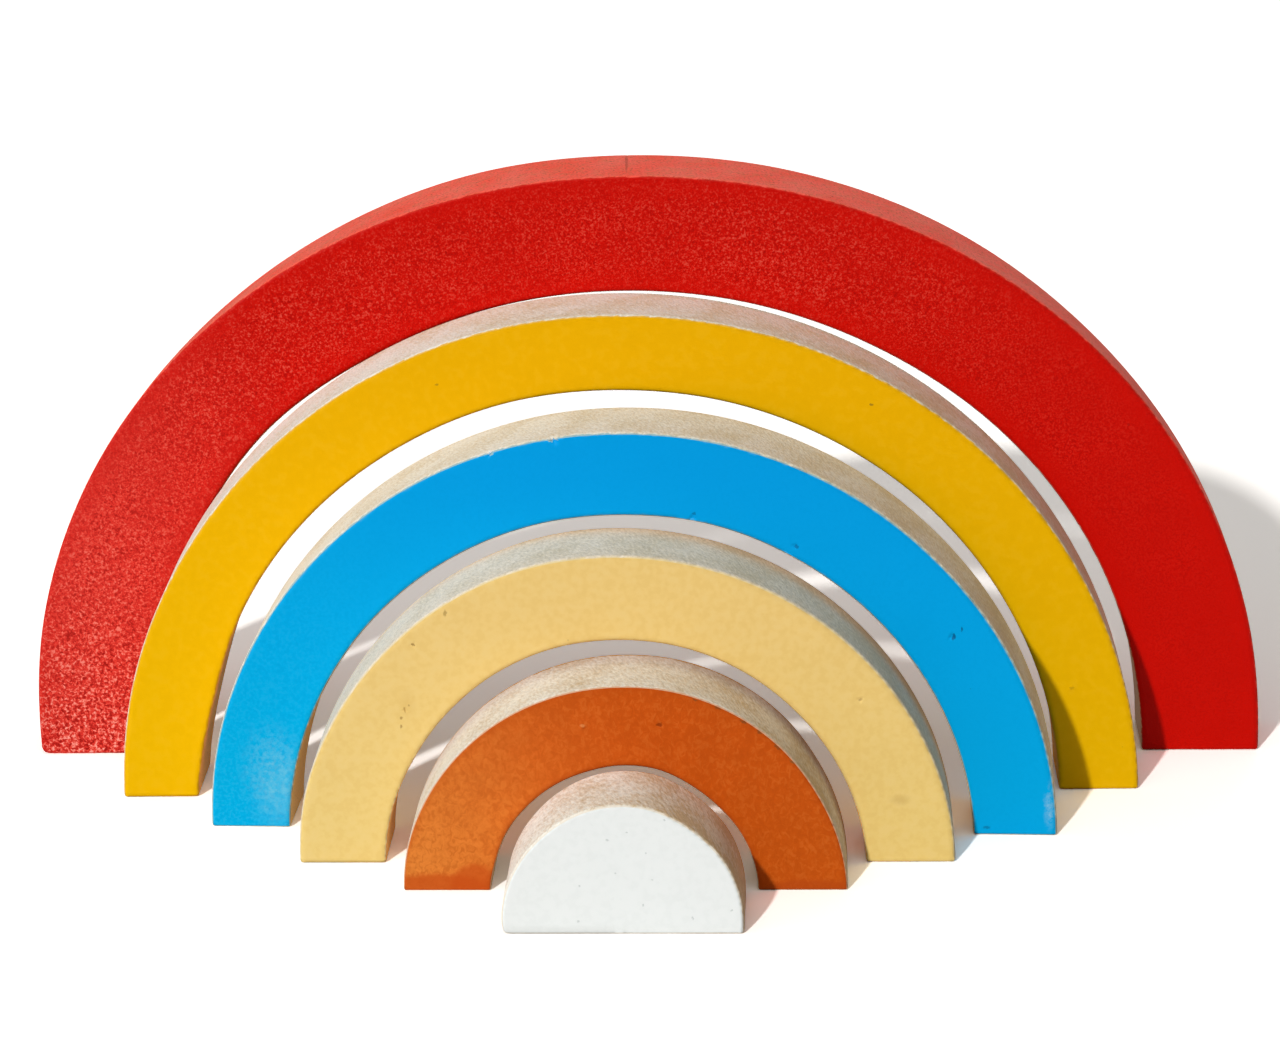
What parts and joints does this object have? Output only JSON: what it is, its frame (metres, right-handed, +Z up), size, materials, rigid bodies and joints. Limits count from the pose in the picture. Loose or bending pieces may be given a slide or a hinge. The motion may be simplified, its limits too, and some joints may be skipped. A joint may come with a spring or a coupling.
{
  "type": "rainbow stacker",
  "caption": "Wooden rainbow stacker: loose painted arches and a half-round dome sawn from board, which stand on flat feet and nest in one another by sliding front to back.",
  "frame": {"origin": "on the floor, under the middle of the box round the whole set as it stands in the picture", "axes": "+X to the right along the width of the arches, +Y from the front to the back of the set, +Z up"},
  "size_m": [0.2738, 0.111, 0.1339],
  "materials": {
    "red_paint": "satin red paint with an eggshell texture on fibreboard, with a thin red wash on the sawn edge",
    "yellow_paint": "satin yellow paint on both faces of fibreboard, with the sawn edges left bare",
    "blue_paint": "satin blue paint on both faces of fibreboard, with the sawn edges left bare",
    "cream_paint": "matt cream paint on both faces of fibreboard, with the sawn edges left bare",
    "orange_paint": "brushed orange paint on both faces of fibreboard, with the sawn edges left bare",
    "white_paint": "satin white paint on both faces of fibreboard, with the sawn edges left bare"
  },
  "bodies": {
    "red_arch": {"red_arch": "red_paint"},
    "yellow_arch": {"yellow_arch": "yellow_paint"},
    "blue_arch": {"blue_arch": "blue_paint"},
    "cream_arch": {"cream_arch": "cream_paint"},
    "orange_arch": {"orange_arch": "orange_paint"},
    "white_dome": {"white_dome": "white_paint"}
  },
  "joints": [
    {"name": "yellow_slide", "type": "slide", "parent": "red_arch", "child": "yellow_arch", "axis": [-0.0866, -0.9962, 0], "range_m": [-0.02309, 0.03]},
    {"name": "blue_slide", "type": "slide", "parent": "yellow_arch", "child": "blue_arch", "axis": [0.0995, -0.995, 0], "range_m": [-0.0201, 0.02]},
    {"name": "cream_slide", "type": "slide", "parent": "blue_arch", "child": "cream_arch", "axis": [-0.0499, -0.9988, 0], "range_m": [-0.01602, 0.02]},
    {"name": "orange_slide", "type": "slide", "parent": "cream_arch", "child": "orange_arch", "axis": [0.0592, -0.9982, 0], "range_m": [-0.01352, 0.02]},
    {"name": "dome_slide", "type": "slide", "parent": "orange_arch", "child": "white_dome", "axis": [0, -1, 0], "range_m": [-0.0205, 0.02]}
  ]
}
